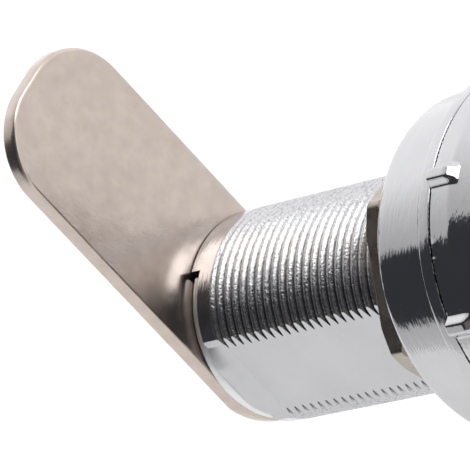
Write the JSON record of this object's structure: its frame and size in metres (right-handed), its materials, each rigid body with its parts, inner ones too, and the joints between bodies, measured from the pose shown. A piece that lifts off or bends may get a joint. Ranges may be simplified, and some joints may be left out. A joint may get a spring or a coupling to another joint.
{
  "type": "cam lock",
  "caption": "Threaded double-D cam lock with a ribbed knob head, keyed wafer plug, hex nut, stop washer and flat straight cam.",
  "frame": {"origin": "centre of the flange's back face, the plane that lies on the panel, on the lock axis", "axes": "+Y along the lock axis from the panel's front to the cam, so the knob and keyway face -Y; +Z along the cam towards its tip at rest; +X completes the frame, across the two barrel flats"},
  "size_m": [0.032, 0.0495, 0.048],
  "materials": {
    "chrome_body": "polished chrome plate",
    "chrome_knob": "polished chrome plate with fine polishing lines",
    "seal_rubber": "matte",
    "plug_brass": "nickel-flashed brass, machined",
    "zinc_steel": "bright zinc plate",
    "steel_cap": "polished stainless sheet",
    "spring_steel": "bright spring steel",
    "stop_steel": "bright plated, blanked edge",
    "nickel_cam": "warm nickel plate over tumbled steel",
    "nickel_nut": "warm nickel plate",
    "wafer_brass": "stamped brass"
  },
  "bodies": {
    "housing": {"housing": "chrome_body", "o_ring": "seal_rubber"},
    "knob_plug": {"plug_core": "plug_brass", "knob": "chrome_knob", "knob_screws": "zinc_steel", "face_cap": "steel_cap", "shutter_pin": "spring_steel", "shutter_spring": "spring_steel", "wafer_spring_1": "spring_steel", "wafer_spring_2": "spring_steel", "wafer_spring_3": "spring_steel", "wafer_spring_4": "spring_steel", "wafer_spring_5": "spring_steel", "wafer_spring_6": "spring_steel", "stop_washer": "stop_steel", "cam": "nickel_cam", "lock_washer": "spring_steel", "cam_screw": "zinc_steel"},
    "shutter": {"shutter": "spring_steel"},
    "nut": {"hex_nut": "nickel_nut"},
    "wafer_1": {"wafer_1": "wafer_brass"},
    "wafer_2": {"wafer_2": "wafer_brass"},
    "wafer_3": {"wafer_3": "wafer_brass"},
    "wafer_4": {"wafer_4": "wafer_brass"},
    "wafer_5": {"wafer_5": "wafer_brass"},
    "wafer_6": {"wafer_6": "wafer_brass"}
  },
  "joints": [
    {"name": "knob_turn", "type": "hinge", "parent": "housing", "child": "knob_plug", "pos_m": [0, 0, 0], "axis": [0, -1, 0], "range_deg": [0, 90]},
    {"name": "shutter_swing", "type": "hinge", "parent": "knob_plug", "child": "shutter", "pos_m": [-0.0021, -0.0117, 0], "axis": [0, 0, 1], "range_deg": [0, 80], "stiffness_Nm_per_rad": 0.0006},
    {"name": "nut_travel", "type": "slide", "parent": "housing", "child": "nut", "axis": [0, 1, 0], "range_m": [-0.002, 0.0215]},
    {"name": "wafer_1_slide", "type": "slide", "parent": "knob_plug", "child": "wafer_1", "axis": [0, 0, 1], "range_m": [0, 0.0008], "stiffness_N_per_m": 120, "deforming": ["wafer_spring_1"]},
    {"name": "wafer_2_slide", "type": "slide", "parent": "knob_plug", "child": "wafer_2", "axis": [0, 0, -1], "range_m": [0, 0.0008], "stiffness_N_per_m": 120, "deforming": ["wafer_spring_2"]},
    {"name": "wafer_3_slide", "type": "slide", "parent": "knob_plug", "child": "wafer_3", "axis": [0, 0, 1], "range_m": [0, 0.0008], "stiffness_N_per_m": 120, "deforming": ["wafer_spring_3"]},
    {"name": "wafer_4_slide", "type": "slide", "parent": "knob_plug", "child": "wafer_4", "axis": [0, 0, -1], "range_m": [0, 0.0008], "stiffness_N_per_m": 120, "deforming": ["wafer_spring_4"]},
    {"name": "wafer_5_slide", "type": "slide", "parent": "knob_plug", "child": "wafer_5", "axis": [0, 0, 1], "range_m": [0, 0.0008], "stiffness_N_per_m": 120, "deforming": ["wafer_spring_5"]},
    {"name": "wafer_6_slide", "type": "slide", "parent": "knob_plug", "child": "wafer_6", "axis": [0, 0, -1], "range_m": [0, 0.0008], "stiffness_N_per_m": 120, "deforming": ["wafer_spring_6"]}
  ]
}
